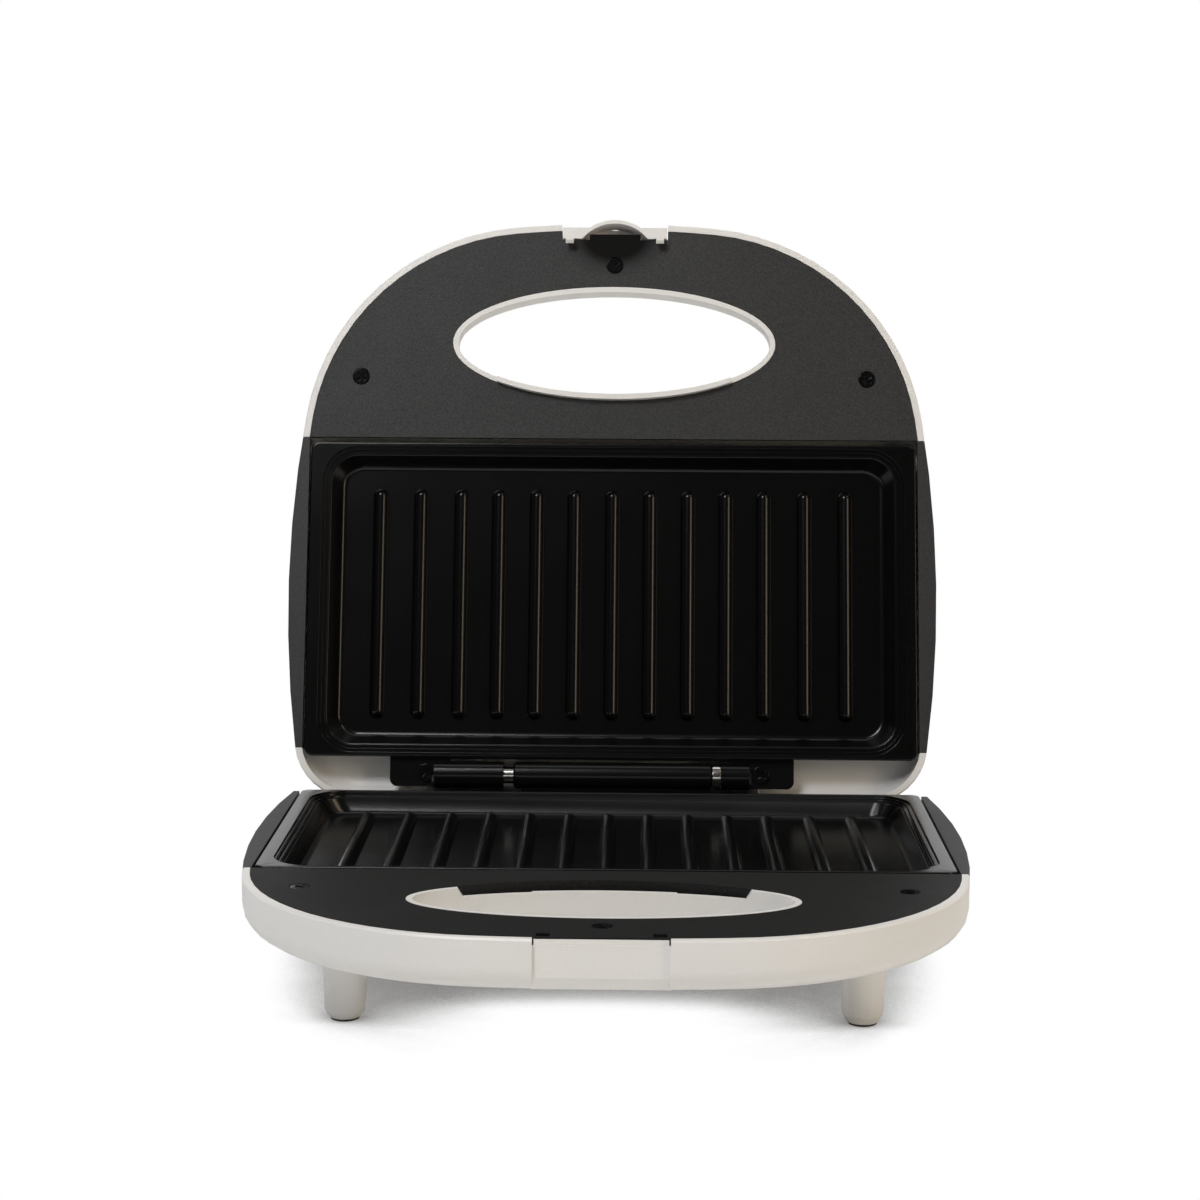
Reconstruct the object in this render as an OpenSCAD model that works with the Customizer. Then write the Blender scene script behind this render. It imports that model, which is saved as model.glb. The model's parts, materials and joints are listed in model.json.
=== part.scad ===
// Hinged sandwich toaster, drawn with its lid open.
// Each half is drawn in its own half frame: x across, y back from the hinge axis,
// z away from the cooking face. The base is that frame turned over, the lid is that
// frame laid on the base and then swung open about the hinge axis.

/* [Body] */
// Width of each cooking plate
plate_w = 218.6; // [200:0.2:240]
// Depth of each cooking plate, front to back
plate_l = 113.9; // [105:0.1:125]
// Distance from the hinge axis to the plate's rear edge
plate_back = 6.1; // [6:0.1:8]
// Band between the plate's edge and the widest point of the body
side_band = 7.1; // [6.5:0.1:10]
// Reach of the handle in front of the plate
handle_reach = 82.1; // [76:0.1:95]
// Reach of the body behind the hinge axis
rear_reach = 9; // [8.6:0.1:9.4]
// Radius of the bulged sides, seen from above
side_r = 418; // [380:1:600]
// Radius of the handle's front edge, seen from above
front_r = 398; // [300:1:500]
// Radius of the handle's corners, seen from above
corner_r = 83.6; // [70:0.2:88]
// Radius of the rear corners, seen from above
rear_r = 21; // [18:0.5:28]
// Thickness of the moulded shells
shell_t = 2.4; // [2:0.1:2.6]

/* [Heights] */
// Height of the base's cooking face above the table
face_z = 40; // [37:0.5:46]
// Height of the hinge axis above the base's cooking face
hinge_rise = 4.5; // [4.2:0.1:5]
// Gap between the two halves when the lid is shut
face_gap = 1; // [0.8:0.1:1.5]
// Angle that the lid stands open
open_angle = 105.6; // [100:0.1:106]
// Depth of the handle part of the base
base_depth = 16; // [15:0.5:18]
// Depth of the handle part of the lid
lid_depth = 14.5; // [14.5:0.5:17]
// Depth of the base over its heater
base_belly = 28; // [27:0.5:31]
// Depth of the lid over its heater
lid_belly = 29; // [27:0.5:33]
// Distance from the hinge axis to the back of the lid's belly
lid_belly_back = 8.5; // [7.5:0.1:11]
// Radius of the shells' outer edge
edge_r = 7.4; // [6:0.2:8]

/* [Handle] */
// Length of the oval hand hole, over its white tube
oval_l = 117.2; // [100:0.2:130]
// Width of the oval hand hole, over its white tube
oval_w = 42.2; // [36:0.2:46]
// Wall of the oval tube
oval_t = 1.9; // [1.6:0.1:2.4]
// Distance from the panel's rear edge to the oval's centre
oval_set = 35.3; // [33:0.1:38]
// Thickness of the black handle panels
panel_t = 2; // [1.6:0.1:2.6]
// Width of the white rim around the handle panels
rim_w = 2.5; // [2.2:0.1:3]
// Half the width of the lowered rim at the back of the base's oval
lip_half = 44.3; // [40:0.1:46]
// Depth of the black lip behind that rim
base_lip = 3.4; // [3.2:0.1:5]
// Height of the lid's white tongue that drops in front of the lip
tongue_h = 2.4; // [1.5:0.1:2.6]

/* [Cooking plates] */
// Depth of the pan
pan_depth = 7; // [5:0.5:9]
// Thickness of the cast plates
plate_t = 1.6; // [1.4:0.1:2]
// Corner radius of the pan floor
floor_corner = 7.5; // [6:0.5:10]
// Corner radius of the stepped rim
step_corner = 13; // [11:0.5:16]
// Drop of each step in the rim
step_drop = 0.6; // [0.4:0.1:0.8]
// Radius of the raised ribs
rib_r = 2.6; // [2:0.1:3]
// Spacing of the middle ribs
rib_pitch = 13.7; // [12:0.1:14.5]
// Spacing of the two outer ribs at each end
rib_outer_pitch = 14.7; // [12:0.1:15]
// Distance from the pan floor's rear edge to the ribs
rib_back = 6.1; // [4:0.1:10]
// Distance from the pan floor's front edge to the ribs
rib_front = 8; // [4:0.1:12]

/* [Side trims] */
// Height of the dark side trims
trim_h = 9; // [7:0.5:11]
// Distance from the hinge axis to the trims' rear ends
trim_back = 9; // [8:0.5:14]
// Gap between the plate and the trims
trim_gap = 0.6; // [0.4:0.1:1.4]

/* [Hinge] */
// Radius of the hinge pin
hinge_pin_r = 3; // [2.5:0.1:3.4]
// Outer radius of the hinge barrels
barrel_r = 4.75; // [4.4:0.05:5.2]
// Left end of the middle barrel
barrel_left = -34.4; // [-40:0.1:-30]
// Right end of the middle barrel
barrel_right = 36.3; // [30:0.1:42]
// Bare stretch of pin left of the middle barrel
pin_bare = 3.5; // [2:0.1:5]
// Length of the left knuckle
knuckle_left_l = 24.8; // [20:0.1:30]
// Thickness of the washer right of the middle barrel
washer_t = 3; // [2:0.1:4]
// Length of the right knuckle
knuckle_right_l = 10.2; // [8:0.1:14]
// Width of the bracket's screw tabs
tab_w = 15.9; // [14:0.1:18]
// Running gap around the hinge pin
pin_play = 0.05; // [0.02:0.01:0.1]
// Height of the opening in the lid's rear wall
rear_cut_h = 14; // [13:0.5:16]

/* [Latch] */
// Width of the front notch that the latch lies in
notch_w = 38.8; // [36:0.2:42]
// Radius of the latch pin
latch_pin_r = 1.25; // [1:0.05:1.4]
// Height of the latch pin above the lid's face
latch_pin_z = 9; // [8.5:0.1:9.5]
// Radius of the finger arch
arch_r = 16.7; // [15:0.1:18]
// Wall of the finger arch
arch_t = 1.3; // [1:0.1:1.6]
// Length of each hook under the base panel
hook_l = 1.6; // [1.4:0.1:1.8]
// Thickness of each hook
hook_t = 1.4; // [1.2:0.1:1.5]

/* [Feet and cord] */
// Half the distance between left and right feet
foot_x = 78; // [60:1:82]
// Distance from the hinge axis to the front feet
foot_front = 146.7; // [140:0.1:150]
// Distance from the hinge axis to the rear feet
foot_back = 14.5; // [13:0.5:30]
// Radius of a foot where it leaves the shell
foot_top_r = 7.1; // [6.5:0.1:9]
// Radius of a foot near the table
foot_tip_r = 6; // [5.6:0.1:7]
// Thickness of the rubber pads
pad_t = 1.4; // [1:0.1:2]
// Radius of the rubber pads
pad_r = 4.4; // [3.5:0.1:4.8]
// Radius of the cord's hole in its grommet
cord_r = 3; // [2.5:0.05:3.1]
// Distance from the belly's side to the cord's hole
cord_inset = 29.4; // [22:0.1:40]

/* [Heating] */
// Radius of the tubular heaters
heater_r = 3.2; // [2.8:0.1:3.3]
// Half the length of a heater's straight legs
heater_half = 56; // [40:1:60]
// Distance between a heater's legs
heater_gap = 56; // [44:1:60]
// Thickness of the reflector sheets
reflector_t = 0.8; // [0.5:0.1:1]

/* [Fasteners] */
// Radius of the screw heads
head_r = 2.9; // [2.5:0.1:3.1]
// Height of the screw heads
head_h = 1.5; // [1.2:0.1:1.7]
// Radius of the screw shanks
shank_r = 1.4; // [1.2:0.1:1.6]
// Radius of the screw bosses
boss_r = 3.9; // [3.6:0.1:4.4]
// Length of the screws under their heads
screw_l = 9; // [7:0.5:10]

/* [Hidden] */

// Clearances
fit = 0.1;          // between pieces that are screwed together
run = 0.3;          // between pieces that move past each other
slip = 0.02;        // around a screw or pin that holds fast
over = 1;           // how far a cutter reaches past the wall it cuts
$fn = 40;

// Plan: distances in front of the hinge axis
half_w = plate_w / 2 + side_band;
plate_front = plate_back + plate_l;
panel_back = plate_front + 1.8;
front_reach = plate_front + handle_reach;
side_mid = plate_back + plate_l / 2 + 3;
oval_y = panel_back + oval_set;
step_half = plate_w / 2 - 4.4;
step_w = 1.35;
floor_side = plate_w / 2 - 11.5;
floor_back = plate_back + 8.2;
floor_front = plate_front - 8.2;
trim_front = panel_back - fit;

// Belly outline, inside the body's own
belly_inset = 15;
belly_front = plate_front + 4;
belly_side = half_w - belly_inset;
belly_front_r = 600;
belly_corner_r = 19;
belly_rear_r = 14;
base_belly_back = 2;
cord_x = belly_side - cord_inset;

// Lowered rim at the back of the base's oval, its black lip and the lid's tongue
rim_drop = 2.6;
rim_step = 0.3;
rim_step_half = 22;
lip_slope = 0.55;
lip_t = 1.2;
lip_a = oval_l / 2 - 3;
lip_b = oval_w / 2 + 2.5;
tongue_half = lip_half - 1.9;

// Front notch
notch_half = notch_w / 2;
notch_back = front_reach - 8.9;
lid_panel_edge = front_reach - 6.2;
panel_nose = front_reach - 3.2;
slot_back = front_reach - 7.5;
slot_front = front_reach - 4;
slot_play = 0.5;
recess_face = front_reach - 2;
recess_wall = 1;
recess_foot = 11.5;
strip_face = recess_face - 0.4;
strip_top = 0.5;
strip_gap = 0.45;

// Latch, in the lid's half frame
pivot_in = 5.1;
pivot_y = front_reach - pivot_in;
latch_half = notch_half - 0.4;
arch_top = front_reach + 1.1;
cheek_in = front_reach - 5.9;
cheek_out = front_reach - 1.8;
cheek_x = 9.6;
leg_in = front_reach - 6.9;
leg_out = front_reach - 5.7;
hook_x = 15;
hook_w = 2.9;
hook_top = -face_gap - panel_t - run;
latch_low = -0.6;
latch_roof = 12.3;
latch_deck = 6.2;
arch_mouth = 8.4;
web_r = 3.4;

// Screws
side_screw_in = 24.6;
rear_screw_in = 22.5;
front_screw_in = 15.8;
panel_screws = [[-half_w + side_screw_in, panel_back + rear_screw_in],
                [half_w - side_screw_in, panel_back + rear_screw_in],
                [0, front_reach - front_screw_in]];
plate_screw_end = 8;
plate_screw_side = 9;
plate_screws = [for (x = [-1, 1], y = [floor_back + plate_screw_end, floor_front - plate_screw_end])
                [x * (floor_side - plate_screw_side), y]];
bracket_left = barrel_left - pin_bare - knuckle_left_l;
bracket_right = barrel_right + washer_t + knuckle_right_l;
bracket_room = 3.8;
hinge_screws = [[bracket_left - 3, 0.7], [bracket_right + 4.1, 0.7]];
block_screws = [[barrel_left + 8, 6], [barrel_right - 8, 6]];

// Apron that closes the gap between the lower plate and the hinge
apron_z = 0.8;
apron_t = 1.6;
apron_front = plate_back - 0.6;
apron_back = -5.8;
apron_side = bracket_room - 0.4;

// Levels in a half frame
floor_under = pan_depth + plate_t;
heater_z = floor_under + heater_r + fit;
reflector_z = heater_z + heater_r + 1;
tab_z = 2.4;
tab_t = 1.6;
block_foot_z = 9;
block_foot_t = 2;
block_foot_l = 11.4;
block_web_t = 4.4;
block_back = 1.8;
block_inset = 3;
barrel_chamfer = 0.7;
swing_slope = tan(open_angle - 90);
swing_top = 4.6;

// The lid's rear edge, swung open, marks the back of the whole object
hinge_z = face_z + hinge_rise;
lid_drop = face_gap - hinge_rise;
lid_ring = lid_rings();
rear_extent = max([for (ring = lid_ring, p = body_outline(ring[0], ring[2]))
    p[1] * cos(open_angle) + (ring[1] + lid_drop) * sin(open_angle)]);
hinge_y = (front_reach - rear_extent) / 2;

// ---------------------------------------------------------------- outlines

function arc(centre, r, from, to, steps) =
    [for (i = [0:steps - 1])
        let (a = from + (to - from) * i / steps)
        centre + r * [cos(a), sin(a)]];

// Where two circles of radius ra about a and rb about b meet, on the outer side
function meet(a, b, ra, rb) =
    let (d = b - a, len = norm(d), along = (ra * ra - rb * rb + len * len) / (2 * len),
         aside = sqrt(max(0, ra * ra - along * along)), e = d / len)
    a + e * along + aside * [e[1], -e[0]];

function bearing(from, to) = atan2(to[1] - from[1], to[0] - from[0]);

// Closed outline of tangent arcs, moved inwards by inset: front arc, corners, bulged sides,
// rear corners and a straight rear edge
function arc_outline(half, side, mid, front, nose, corner, back, rear, inset) =
    let (s = [half - side, -mid],
         f = [0, nose - front],
         c = meet(s, f, side - corner, nose - corner),
         r = [s[0] + sqrt(pow(side - rear, 2) - pow(mid - back - rear, 2)), -back - rear],
         af = bearing(f, c),
         as = bearing(s, c),
         ar = bearing(s, r),
         right = concat(arc(f, nose - inset, -90, af, 4),
                        arc(c, corner - inset, af, as, 14),
                        arc(s, side - inset, as, ar, 6),
                        arc(r, rear - inset, ar, 90, 8),
                        [[r[0], r[1] + rear - inset]]),
         last = len(right) - 1)
    concat(right, [for (i = [last:-1:1]) [-right[i][0], right[i][1]]]);

// kind 0 is the body's own outline, kind 1 the base's belly, kind 2 the lid's belly
function body_outline(inset, kind = 0) =
    kind == 0
    ? arc_outline(half_w, side_r, side_mid, front_reach, front_r, corner_r,
                  -rear_reach, rear_r, inset)
    : arc_outline(belly_side, side_r, side_mid, belly_front, belly_front_r, belly_corner_r,
                  kind == 1 ? base_belly_back : lid_belly_back, belly_rear_r, inset);

function round_rect(x0, x1, y0, y1, r) =
    concat(arc([x1 - r, y0 + r], r, -90, 0, 6), [[x1, y0 + r]],
           arc([x1 - r, y1 - r], r, 0, 90, 6), [[x1 - r, y1]],
           arc([x0 + r, y1 - r], r, 90, 180, 6), [[x0, y1 - r]],
           arc([x0 + r, y0 + r], r, 180, 270, 6), [[x0 + r, y0]]);

function ellipse(a, b, steps = 72) =
    [for (i = [0:steps - 1]) [a * cos(i * 360 / steps), b * sin(i * 360 / steps)]];

// Rings of one shell, as [inset, z, kind]: rounded edge, flat of the handle, belly
function shell_rings(depth, belly, kind) =
    concat([[0.5, 0, 0], [0, 0.6, 0]],
           [for (a = [0:22.5:90]) [edge_r * (1 - cos(a)), depth - edge_r + edge_r * sin(a), 0]],
           [[-3, depth, kind], [-1.2, depth + 0.5, kind], [0, depth + 2, kind],
            [1.6, belly - 4.5, kind], [3.6, belly - 1.6, kind], [7.6, belly, kind]]);

function lid_rings() = shell_rings(lid_depth, lid_belly, 2);
function base_rings() = shell_rings(base_depth, base_belly, 1);

// Rings of the hollow inside, one wall thickness in
function hollow_rings(depth, belly, kind) =
    let (r = edge_r - shell_t + 1)
    concat([[shell_t, -over, 0]],
           [for (a = [0:30:90]) [shell_t + r * (1 - cos(a)), depth - shell_t - r + r * sin(a), 0]],
           [[-3 + shell_t, depth - shell_t, kind], [shell_t, depth + 1.4, kind],
            [1.6 + shell_t, belly - 4.5 - shell_t / 2, kind], [7.6, belly - shell_t, kind]]);

// ------------------------------------------------------------------- helpers

// Solid through a list of rings that have the same number of points
module loft(rings) {
    n = len(rings[0][0]);
    count = len(rings);
    points = [for (ring = rings, p = ring[0]) [p[0], p[1], ring[1]]];
    sides = [for (k = [0:count - 2], i = [0:n - 1])
        let (j = (i + 1) % n)
        [k * n + i, (k + 1) * n + i, (k + 1) * n + j, k * n + j]];
    floor_face = [for (i = [0:n - 1]) i];
    roof_face = [for (i = [n - 1:-1:0]) (count - 1) * n + i];
    polyhedron(points, concat([floor_face], sides, [roof_face]), convexity = 6);
}

module shell_loft(rings) {
    loft([for (ring = rings) [body_outline(ring[0], ring[2]), ring[1]]]);
}

// Puts children drawn in a half frame in place on the base, or on the open lid
module base_frame() {
    translate([0, hinge_y, face_z]) mirror([0, 0, 1]) children();
}

module lid_frame() {
    translate([0, hinge_y, hinge_z]) rotate([-open_angle, 0, 0]) translate([0, 0, lid_drop])
        children();
}

// Cylinder along z from z0 to z1 at a place given as [x, distance in front of the hinge]
module post(place, r, z0, z1) {
    translate([place[0], -place[1], z0]) cylinder(r = r, h = z1 - z0);
}

// Cylinder along x from x0 to x1 at y and z
module rod(x0, x1, y, z, r) {
    translate([x0, y, z]) rotate([0, 90, 0]) cylinder(r = r, h = x1 - x0);
}

// Prism along x of a side profile drawn as [distance in front of the hinge, z]
module side_prism(x0, x1, profile) {
    translate([x1, 0, 0]) rotate([0, -90, 0]) linear_extrude(x1 - x0)
        polygon([for (p = profile) [p[1], -p[0]]]);
}

// Cross-head screw with its head's top at z0, shank running to +z
module screw(place, z0, length) {
    difference() {
        union() {
            post(place, head_r, z0, z0 + head_h);
            post(place, shank_r, z0 + head_h - fit, z0 + head_h + length);
        }
        for (turn = [0, 90])
            translate([place[0], -place[1], z0]) rotate([0, 0, turn + 45])
                cube([head_r * 1.3, head_r * 0.32, head_h], center = true);
    }
}

module oval(grow, z0, z1) {
    translate([0, -oval_y, z0]) linear_extrude(z1 - z0)
        polygon(ellipse(oval_l / 2 + grow, oval_w / 2 + grow));
}

module ellipse_loft(rings) {
    translate([0, -oval_y, 0])
        loft([for (ring = rings) [ellipse(oval_l / 2 + ring[0], oval_w / 2 + ring[0]), ring[1]]]);
}

// Hand hole through a half, flared out on its outer side
module hand_hole(depth) {
    oval(-oval_t, -tongue_h - over, depth - edge_r + fit);
    ellipse_loft(concat([for (a = [0:22.5:90])
                             [edge_r * (1 - cos(a)) - oval_t, depth - edge_r + edge_r * sin(a)]],
                        [[edge_r - oval_t, depth + over]]));
}

// White tube around the hand hole, widening with the flare
module hand_tube(depth) {
    oval(0, 0, depth - shell_t / 2);
    ellipse_loft([[0, depth - edge_r], [1.2, depth - shell_t - 2], [3.6, depth - shell_t / 2]]);
}

// Region at the back of the oval, with slanted ends, down to a depth
module lip_zone(grow, depth) {
    half = lip_half + grow;
    foot = half - lip_slope * depth;
    translate([0, -oval_y + oval_w / 2 + 8, 0]) rotate([90, 0, 0]) linear_extrude(oval_w / 2 + 8)
        polygon([[-half, -over], [half, -over], [half, 0], [foot, depth], [-foot, depth], [-half, 0]]);
}

// Rounder oval that the black lip follows
module lip_oval(grow, z0, z1) {
    translate([0, -oval_y, z0]) linear_extrude(z1 - z0) polygon(ellipse(lip_a + grow, lip_b + grow));
}

// -------------------------------------------------------------------- shells

// Tray with its oval tube and panel bosses, shared by both halves; children cut the tube
module tray(rings, hollow, depth) {
    difference() {
        union() {
            difference() {
                shell_loft(rings);
                shell_loft(hollow);
            }
            difference() {
                hand_tube(depth);
                children();
            }
            for (place = panel_screws) post(place, boss_r, panel_t, depth - shell_t / 2);
        }
        hand_hole(depth);
        for (place = panel_screws) post(place, shank_r + slip, -over, panel_t + screw_l);
        for (side = [-1, 1]) trim_pocket(side);
    }
}

// Room for a side trim in a shell's side wall
module trim_pocket(side) {
    inner = plate_w / 2 + trim_gap / 2;
    x0 = side > 0 ? inner : -half_w - over;
    translate([x0, -trim_front - fit, -over])
        cube([half_w + over - inner, trim_front - trim_back + 2 * fit, trim_h + fit + over]);
}

// Posts that carry a plate, its reflector and the screw heads between them
module plate_posts(belly) {
    for (place = plate_screws) difference() {
        post(place, boss_r + 0.8, reflector_z + reflector_t, belly - shell_t / 2);
        post(place, head_r + 0.4, reflector_z + reflector_t - over,
             reflector_z + reflector_t + head_h + 0.6);
    }
}

module base_foot(place, z0) {
    tip = face_z - pad_t + 1;
    translate([place[0], -place[1], 0]) rotate_extrude()
        polygon([[0, z0], [foot_top_r, z0], [foot_tip_r + 0.2, tip - 3], [foot_tip_r - 0.6, tip - 1.2],
                 [foot_tip_r - 1.4, tip - 0.3], [foot_tip_r - 1.5, tip - 1], [0, tip - 1]]);
}

// Part of the oval tube that is cut away in front of the black lip
module low_rim() {
    difference() {
        lip_zone(0, rim_drop + rim_step);
        translate([-rim_step_half, -oval_y, rim_drop])
            cube([2 * rim_step_half, oval_w, rim_step + over]);
    }
}

module base_shell() {
    back = recess_face - recess_wall;
    recess = [[back, panel_t + fit], [recess_face, panel_t + fit],
              [recess_face, recess_foot], [recess_face - base_depth + recess_foot, base_depth],
              [notch_back - 2, base_depth], [notch_back - 2, base_depth - 2],
              [back - base_depth + recess_foot - 0.4, base_depth - 2], [back, recess_foot - 0.4]];
    strip = [[back, strip_top], [strip_face, strip_top],
             [strip_face, panel_t + fit + over], [back, panel_t + fit + over]];
    color("whitesmoke") base_frame() difference() {
        union() {
            difference() {
                union() {
                    tray(base_rings(), hollow_rings(base_depth, base_belly, 1), base_depth) low_rim();
                    plate_posts(base_belly);
                }
                translate([-notch_half, -front_reach - over, -over])
                    cube([notch_w, front_reach + over - notch_back, base_depth + 2 * over]);
                swing_room();
            }
            side_prism(-notch_half - 0.5, notch_half + 0.5, recess);
            side_prism(-notch_half + strip_gap, notch_half - strip_gap, strip);
            for (place = block_screws)
                post(place, boss_r, block_foot_z + block_foot_t, base_depth - shell_t / 2);
            for (x = [-foot_x, foot_x]) {
                base_foot([x, foot_front], base_depth - shell_t / 2);
                base_foot([x, foot_back], base_belly - shell_t / 2);
            }
            cord_boss();
        }
        for (place = block_screws)
            post(place, shank_r + slip, block_foot_z, base_depth - shell_t);
        cord_hole();
        cord_clamp_holes();
    }
}

// Slanted clearance for the lid's rear wall, down to its open position
module swing_room() {
    reach = rear_reach + over;
    side_prism(-half_w - over, half_w + over,
               [[trim_back - fit, -over], [trim_back - fit, swing_top - 3 * swing_slope],
                [-reach, swing_top + (plate_back + reach) * swing_slope], [-reach, -over]]);
}

// Raised part of the lid's white rim that drops into the base's oval when shut
module lid_tongue() {
    intersection() {
        difference() {
            oval(0, -tongue_h, over);
            oval(-oval_t, -tongue_h - over, 2 * over);
        }
        translate([-tongue_half, -oval_y, -tongue_h])
            cube([2 * tongue_half, oval_w, tongue_h + over]);
    }
}

module lid_shell() {
    ear_x = notch_half + 3.6;
    color("whitesmoke") lid_frame() difference() {
        union() {
            tray(lid_rings(), hollow_rings(lid_depth, lid_belly, 2), lid_depth);
            lid_tongue();
            plate_posts(lid_belly);
            for (place = hinge_screws)
                post(place, head_r, tab_z + tab_t, lid_depth - shell_t / 2);
            // pocket that the latch swings in
            translate([-ear_x, -notch_back, panel_t + fit])
                cube([2 * ear_x, 2, lid_depth - shell_t / 2 - panel_t]);
            for (side = [-1, 1])
                translate([side > 0 ? notch_half : -ear_x, 2 - cheek_out, panel_t + fit])
                    cube([ear_x - notch_half, cheek_out - notch_back, latch_pin_z]);
            lamp_bosses();
        }
        translate([-notch_half, -front_reach - over, -over])
            cube([notch_w, front_reach + over - notch_back, lid_depth + 2 * over]);
        rod(-ear_x + over, ear_x - over, -pivot_y, latch_pin_z, latch_pin_r + slip);
        translate([bracket_left - bracket_room, rear_reach - shell_t - 4, -over])
            cube([bracket_right - bracket_left + 2 * bracket_room, shell_t + 4 + over, rear_cut_h + over]);
        for (place = hinge_screws)
            post(place, shank_r + slip, tab_z, tab_z + tab_t + screw_l);
        lamp_holes();
    }
}

// -------------------------------------------------------------- handle panels

// D-shaped cover of the handle around the oval
module handle_panel() {
    difference() {
        intersection() {
            linear_extrude(panel_t) polygon(body_outline(rim_w));
            translate([-half_w, -front_reach, 0])
                cube([2 * half_w, front_reach - panel_back, panel_t]);
        }
        oval(fit, -over, panel_t + over);
        for (place = panel_screws) {
            post(place, shank_r + fit, -over, panel_t + over);
            post(place, head_r + 0.25, -over, head_seat);
        }
    }
}

head_seat = head_h + 0.1;

module base_panel() {
    color("dimgray") base_frame() difference() {
        union() {
            handle_panel();
            // lip that lines the back of the oval
            intersection() {
                lip_oval(lip_t, 0, base_lip);
                lip_zone(0, base_lip);
            }
        }
        intersection() {
            lip_oval(0, -over, base_lip + over);
            lip_zone(0, base_lip + over);
        }
        oval(fit, -over, base_lip + over);
        // front edge in the notch, and the slots that the hooks drop through
        translate([-notch_half + fit, -front_reach, -over])
            cube([notch_w - 2 * fit, front_reach - panel_nose, panel_t + 2 * over]);
        for (side = [-1, 1])
            translate([side * (hook_x + hook_w / 2) - hook_w / 2 - slot_play, -slot_front, -over])
                cube([hook_w + 2 * slot_play, slot_front - slot_back, panel_t + 2 * over]);
    }
}

module lid_panel() {
    color("dimgray") lid_frame() difference() {
        handle_panel();
        translate([-notch_half, -front_reach, -over])
            cube([notch_w, front_reach - lid_panel_edge, panel_t + 2 * over]);
    }
}

// ---------------------------------------------------------------- side trims

// Angle-section strip that makes the bulged side between the two handle panels
module side_trim(side) {
    inner = plate_w / 2 + trim_gap;
    wall = 2;
    x0 = side > 0 ? inner : -half_w - over;
    intersection() {
        difference() {
            union() {
                translate([0, 0, 0.6]) linear_extrude(trim_h - 0.6) polygon(body_outline(0));
                linear_extrude(0.6) polygon(body_outline(0.5));
            }
            translate([0, 0, wall]) linear_extrude(trim_h) polygon(body_outline(wall));
        }
        translate([x0, -trim_front, 0])
            cube([half_w + over - inner, trim_front - trim_back, trim_h]);
    }
}

module base_side_trim_left() { color("darkslategray") base_frame() side_trim(-1); }
module base_side_trim_right() { color("darkslategray") base_frame() side_trim(1); }
module lid_side_trim_left() { color("darkslategray") lid_frame() side_trim(-1); }
module lid_side_trim_right() { color("darkslategray") lid_frame() side_trim(1); }

// ------------------------------------------------------------- cooking plates

// Ring of the plate: half width, distances of its back and front, corner radius, z
function plate_ring(half, back, front, r, z) = [round_rect(-half, half, -front, -back, r), z];

function step_ring(k, z) =
    plate_ring(step_half - k * step_w, plate_back + 1.5 + k * step_w,
               plate_front - 1.5 - k * step_w, step_corner - k * step_w, z);

function floor_ring(grow, z) =
    plate_ring(floor_side + grow, floor_back - grow, floor_front + grow, floor_corner + grow, z);

// Cast plate: flange, three fine steps, sloping pan wall and floor, with its own underside
module plate_casting() {
    half = plate_w / 2;
    wall_top = 3 * step_drop;
    loft([
        floor_ring(-1, pan_depth),
        floor_ring(0.3, pan_depth - 0.3),
        floor_ring(1.2, pan_depth - 1.4),
        step_ring(2.4, wall_top + 0.3),
        step_ring(2, wall_top),
        step_ring(2, 2 * step_drop),
        step_ring(1, 2 * step_drop),
        step_ring(1, step_drop),
        step_ring(0, step_drop),
        step_ring(0, 0),
        plate_ring(half - 0.4, plate_back + 0.4, plate_front - 0.4, 3, 0),
        plate_ring(half, plate_back, plate_front, 3, 0.4),
        plate_ring(half, plate_back, plate_front, 3, plate_t),
        step_ring(0.6, plate_t + 0.2),
        step_ring(1.6, wall_top + plate_t),
        floor_ring(2.2, pan_depth - 1),
        floor_ring(0.8, floor_under),
    ]);
}

// Rib places across the pan: an even middle group and two wider steps at each end
rib_middle = 4;
rib_places = [for (i = [-rib_middle - 2:rib_middle + 2])
    let (outer = max(0, abs(i) - rib_middle))
    sign(i) * (rib_pitch * (abs(i) - outer) + rib_outer_pitch * outer)];

module rib(x) {
    back = floor_back + rib_back + rib_r;
    front = floor_front - rib_front - rib_r;
    translate([x, -back, pan_depth]) {
        sphere(r = rib_r);
        rotate([90, 0, 0]) cylinder(r = rib_r, h = front - back);
    }
    translate([x, -front, pan_depth]) sphere(r = rib_r);
}

module grill_plate() {
    difference() {
        union() {
            plate_casting();
            intersection() {
                for (x = rib_places) rib(x);
                translate([-half_w, -plate_front, 0]) cube([2 * half_w, plate_l, floor_under - 0.4]);
            }
            for (place = plate_screws) post(place, boss_r, floor_under - 0.4, reflector_z);
        }
        for (place = plate_screws) post(place, shank_r + slip, floor_under, reflector_z + over);
    }
}

module lower_grill_plate() { color([0.12, 0.12, 0.12]) base_frame() grill_plate(); }
module upper_grill_plate() { color([0.12, 0.12, 0.12]) lid_frame() grill_plate(); }

// ------------------------------------------------------------------- heating

// U-shaped tube heater whose two cold ends point to the left
module heater() {
    mid = (floor_back + floor_front) / 2;
    cold = 14;
    bend = heater_gap / 2;
    for (side = [-1, 1]) {
        rod(-heater_half - cold, heater_half, -mid + side * bend, heater_z, heater_r);
        rod(-heater_half - cold - 8, -heater_half - cold, -mid + side * bend, heater_z, 1.2);
    }
    translate([heater_half, -mid, heater_z]) rotate([0, 0, -90])
        rotate_extrude(angle = 180) translate([bend, 0]) circle(heater_r);
}

module lower_heater() { color("silver") base_frame() heater(); }
module upper_heater() { color("silver") lid_frame() heater(); }

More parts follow.
